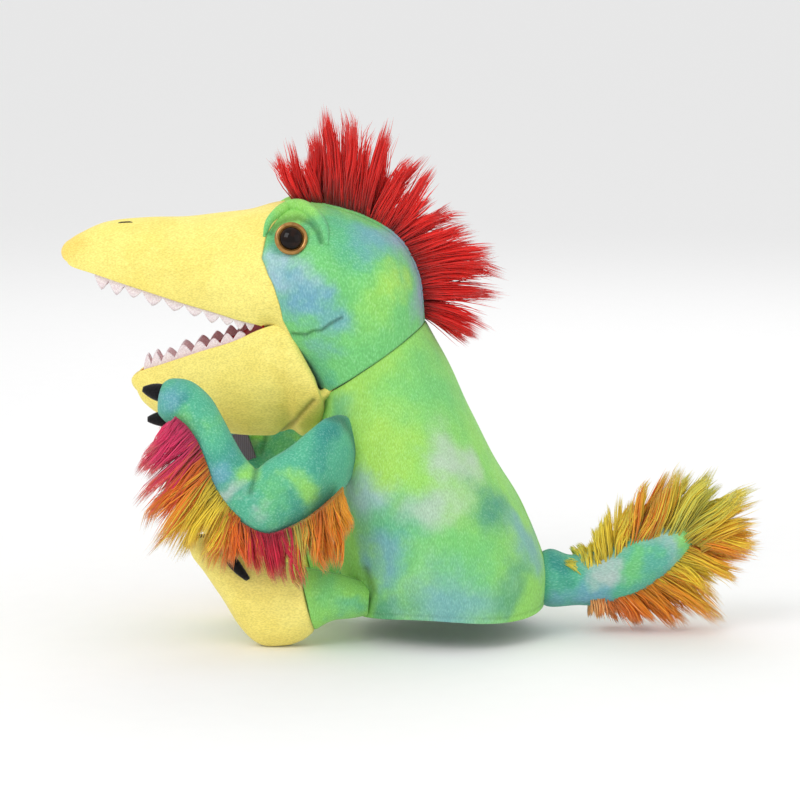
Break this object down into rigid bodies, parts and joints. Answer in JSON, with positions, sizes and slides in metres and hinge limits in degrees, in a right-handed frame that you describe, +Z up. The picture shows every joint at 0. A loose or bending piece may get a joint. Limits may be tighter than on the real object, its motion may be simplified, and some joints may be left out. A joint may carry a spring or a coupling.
{
  "type": "moving mouth hand puppet",
  "caption": "Plush hand puppet of a long-beaked crested bird-dinosaur, with a hinged mouth, toothed lower jaw, swinging arms, legs and tail, and fur trims.",
  "frame": {"origin": "on the surface the feet rest on, under the middle of the whole puppet", "axes": "+Z up, +X towards the tail, beak towards -X, the animal's left side at -Y"},
  "size_m": [0.418, 0.1676, 0.318],
  "materials": {
    "tie_dye_plush": "short-pile plush, tie-dyed lime, sea green, blue and lavender",
    "lemon_plush": "short-pile plush, lemon yellow",
    "red_fur": "long-pile fur, bright red",
    "rainbow_fur": "long-pile fur, pink to orange to yellow",
    "red_felt": "smooth knitted lining, red",
    "white_felt": "felt",
    "black_felt": "felt",
    "lining_cloth": "plain woven lining",
    "wadding": "polyester stuffing",
    "board": "matt",
    "bronze_plastic": "pearly bronze",
    "black_plastic": "polished",
    "white_plastic": "moulded",
    "dark_thread": "thread",
    "label_tape": "woven tape, blank"
  },
  "bodies": {
    "body": {"body_panel_left": "tie_dye_plush", "body_panel_right": "tie_dye_plush", "hem_band": "tie_dye_plush", "hand_sleeve": "lining_cloth"},
    "neck": {"neck_gusset": "tie_dye_plush"},
    "head": {"skull_panel_left": "tie_dye_plush", "skull_panel_right": "tie_dye_plush", "head_gusset": "tie_dye_plush", "crest_backing": "red_fur", "crest_pile": "red_fur", "beak_panel_left": "lemon_plush", "beak_panel_right": "lemon_plush", "beak_wadding": "wadding", "palate_lining": "red_felt", "palate_board": "board", "finger_pocket": "lining_cloth", "upper_teeth_left": "white_felt", "upper_teeth_right": "white_felt", "nostril_stitches": "dark_thread", "eye_left": "black_plastic", "eye_right": "black_plastic", "iris_left": "bronze_plastic", "iris_right": "bronze_plastic", "eye_washers": "white_plastic", "eyelid_left": "tie_dye_plush", "eyelid_right": "tie_dye_plush", "throat_gusset": "lemon_plush"},
    "jaw": {"jaw_panel_left": "lemon_plush", "jaw_panel_right": "lemon_plush", "jaw_lining": "red_felt", "jaw_board": "board", "jaw_wadding": "wadding", "thumb_pocket": "lining_cloth", "lower_teeth_left": "white_felt", "lower_teeth_right": "white_felt"},
    "tail": {"tail_skin": "tie_dye_plush", "tail_wadding": "wadding", "tail_fringe_top": "rainbow_fur", "tail_fringe_bottom": "rainbow_fur"},
    "arm_left": {"arm_skin_left": "tie_dye_plush", "arm_wadding_left": "wadding", "hand_claws_left": "black_felt", "forearm_fringe_left": "rainbow_fur", "elbow_fringe_left": "rainbow_fur"},
    "leg_left": {"thigh_skin_left": "tie_dye_plush", "foot_skin_left": "lemon_plush", "leg_wadding_left": "wadding", "foot_claws_left": "black_felt"},
    "arm_right": {"arm_skin_right": "tie_dye_plush", "arm_wadding_right": "wadding", "hand_claws_right": "black_felt", "forearm_fringe_right": "rainbow_fur", "elbow_fringe_right": "rainbow_fur", "care_label": "label_tape"},
    "leg_right": {"thigh_skin_right": "tie_dye_plush", "foot_skin_right": "lemon_plush", "leg_wadding_right": "wadding", "foot_claws_right": "black_felt"}
  },
  "joints": [
    {"name": "head_turn", "type": "hinge", "parent": "body", "child": "neck", "pos_m": [-0.0255, 0, 0.168], "axis": [-0.5736, 0, 0.8191], "range_deg": [-20, 20], "stiffness_Nm_per_rad": 1.5},
    {"name": "head_nod", "type": "hinge", "parent": "neck", "child": "head", "pos_m": [-0.0255, 0, 0.168], "axis": [0, 1, 0], "range_deg": [-14, 18], "stiffness_Nm_per_rad": 2},
    {"name": "jaw_open", "type": "hinge", "parent": "head", "child": "jaw", "pos_m": [-0.088, 0, 0.187], "axis": [0, -1, 0], "range_deg": [-30, 12], "stiffness_Nm_per_rad": 0.6, "deforming": ["throat_gusset"]},
    {"name": "arm_swing_left", "type": "hinge", "parent": "body", "child": "arm_left", "pos_m": [-0.05, -0.054, 0.112], "axis": [0, 1, 0], "range_deg": [-20, 30], "stiffness_Nm_per_rad": 0.5},
    {"name": "arm_swing_right", "type": "hinge", "parent": "body", "child": "arm_right", "pos_m": [-0.05, 0.054, 0.112], "axis": [0, 1, 0], "range_deg": [-20, 30], "stiffness_Nm_per_rad": 0.5},
    {"name": "leg_lift_left", "type": "hinge", "parent": "body", "child": "leg_left", "pos_m": [-0.048, -0.042, 0.028], "axis": [0, 1, 0], "range_deg": [0, 25], "stiffness_Nm_per_rad": 0.8},
    {"name": "leg_lift_right", "type": "hinge", "parent": "body", "child": "leg_right", "pos_m": [-0.048, 0.042, 0.028], "axis": [0, 1, 0], "range_deg": [0, 25], "stiffness_Nm_per_rad": 0.8},
    {"name": "tail_swing", "type": "hinge", "parent": "body", "child": "tail", "pos_m": [0.084, 0, 0.032], "axis": [0, 0, 1], "range_deg": [-25, 25], "stiffness_Nm_per_rad": 0.6}
  ]
}
